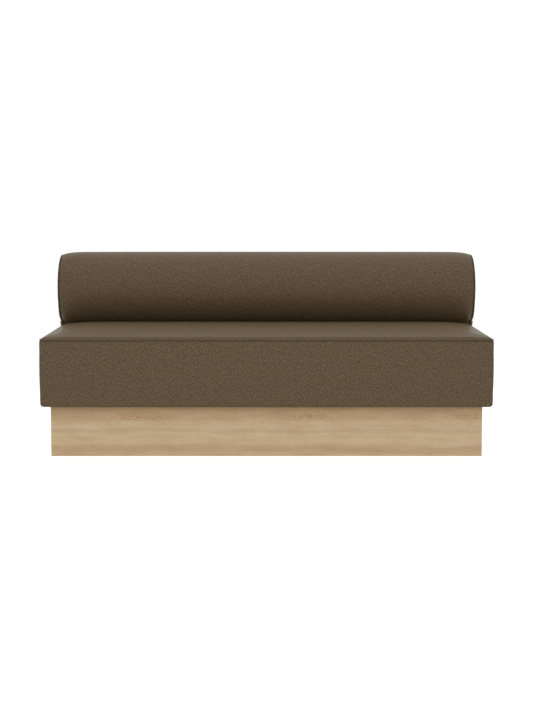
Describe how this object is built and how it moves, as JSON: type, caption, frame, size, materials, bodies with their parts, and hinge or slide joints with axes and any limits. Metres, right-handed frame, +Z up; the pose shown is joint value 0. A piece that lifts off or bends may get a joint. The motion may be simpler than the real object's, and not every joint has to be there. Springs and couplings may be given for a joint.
{
  "type": "upholstered banquette bench",
  "caption": "Long banquette bench: box plinth in light wood veneer, thick upholstered box seat with a crowned top, and a long roll backrest on a narrow neck.",
  "frame": {"origin": "on the floor under the middle of the bench", "axes": "+X along the bench, +Y from the front to the back, +Z up"},
  "size_m": [1.8, 0.7, 0.794],
  "materials": {
    "oak_veneer": "matt lacquered oak veneer",
    "plywood": "sanded",
    "timber": "planed",
    "zinc_steel": "zinc plated",
    "nylon": "moulded",
    "elastic_webbing": "woven",
    "foam": "cut foam",
    "upholstery_cloth": "felted wool cloth",
    "dust_cloth": "non-woven"
  },
  "bodies": {
    "root": {"plinth_front_panel": "oak_veneer", "plinth_right_panel": "oak_veneer", "plinth_back_panel": "oak_veneer", "plinth_left_panel": "oak_veneer", "plinth_left_divider": "plywood", "plinth_right_divider": "plywood", "former_left": "plywood", "former_inner_left": "plywood", "former_inner_right": "plywood", "former_right": "plywood", "bent_skin": "plywood", "back_board": "plywood", "neck_board": "plywood", "corner_block_front_left": "timber", "corner_block_front_right": "timber", "corner_block_rear_left": "timber", "corner_block_rear_right": "timber", "plinth_front_cleat": "timber", "plinth_back_cleat": "timber", "seat_front_rail": "timber", "seat_back_rail": "timber", "seat_right_rail": "timber", "seat_left_rail": "timber", "seat_front_batten": "timber", "seat_back_batten": "timber", "seat_left_stretcher": "timber", "seat_right_stretcher": "timber", "back_sill": "timber", "frame_bolts": "zinc_steel", "frame_nuts": "zinc_steel", "leveller_nuts": "zinc_steel", "webbing_across": "elastic_webbing", "webbing_along": "elastic_webbing", "seat_foam": "foam", "seat_front_pad": "foam", "seat_right_pad": "foam", "seat_left_pad": "foam", "neck_pad": "foam", "roll_foam": "foam", "seat_boxing": "upholstery_cloth", "seat_top_panel": "upholstery_cloth", "neck_cloth": "upholstery_cloth", "roll_cover": "upholstery_cloth", "outside_back": "upholstery_cloth", "roll_right_end": "upholstery_cloth", "roll_left_end": "upholstery_cloth", "seat_dust_cover": "dust_cloth"},
    "pad_front_left": {"leveller_pad_front_left": "nylon"},
    "stud_front_left": {"leveller_stud_front_left": "zinc_steel"},
    "pad_front_right": {"leveller_pad_front_right": "nylon"},
    "stud_front_right": {"leveller_stud_front_right": "zinc_steel"},
    "pad_rear_left": {"leveller_pad_rear_left": "nylon"},
    "stud_rear_left": {"leveller_stud_rear_left": "zinc_steel"},
    "pad_rear_right": {"leveller_pad_rear_right": "nylon"},
    "stud_rear_right": {"leveller_stud_rear_right": "zinc_steel"}
  },
  "joints": [
    {"name": "level_front_left", "type": "slide", "parent": "root", "child": "pad_front_left", "axis": [0, 0, 1], "range_m": [-0.012, 0]},
    {"name": "screw_front_left", "type": "hinge", "parent": "pad_front_left", "child": "stud_front_left", "pos_m": [-0.819, -0.269, 0.014], "axis": [0, 0, 1], "range_deg": [-3456, 0]},
    {"name": "level_front_right", "type": "slide", "parent": "root", "child": "pad_front_right", "axis": [0, 0, 1], "range_m": [-0.012, 0]},
    {"name": "screw_front_right", "type": "hinge", "parent": "pad_front_right", "child": "stud_front_right", "pos_m": [0.819, -0.269, 0.014], "axis": [0, 0, 1], "range_deg": [-3456, 0]},
    {"name": "level_rear_left", "type": "slide", "parent": "root", "child": "pad_rear_left", "axis": [0, 0, 1], "range_m": [-0.012, 0]},
    {"name": "screw_rear_left", "type": "hinge", "parent": "pad_rear_left", "child": "stud_rear_left", "pos_m": [-0.819, 0.269, 0.014], "axis": [0, 0, 1], "range_deg": [-3456, 0]},
    {"name": "level_rear_right", "type": "slide", "parent": "root", "child": "pad_rear_right", "axis": [0, 0, 1], "range_m": [-0.012, 0]},
    {"name": "screw_rear_right", "type": "hinge", "parent": "pad_rear_right", "child": "stud_rear_right", "pos_m": [0.819, 0.269, 0.014], "axis": [0, 0, 1], "range_deg": [-3456, 0]}
  ],
  "couplings": [
    {"joint": "screw_front_left", "follows": "level_front_left", "rad_per_m": 5026.5},
    {"joint": "screw_front_right", "follows": "level_front_right", "rad_per_m": 5026.5},
    {"joint": "screw_rear_left", "follows": "level_rear_left", "rad_per_m": 5026.5},
    {"joint": "screw_rear_right", "follows": "level_rear_right", "rad_per_m": 5026.5}
  ]
}
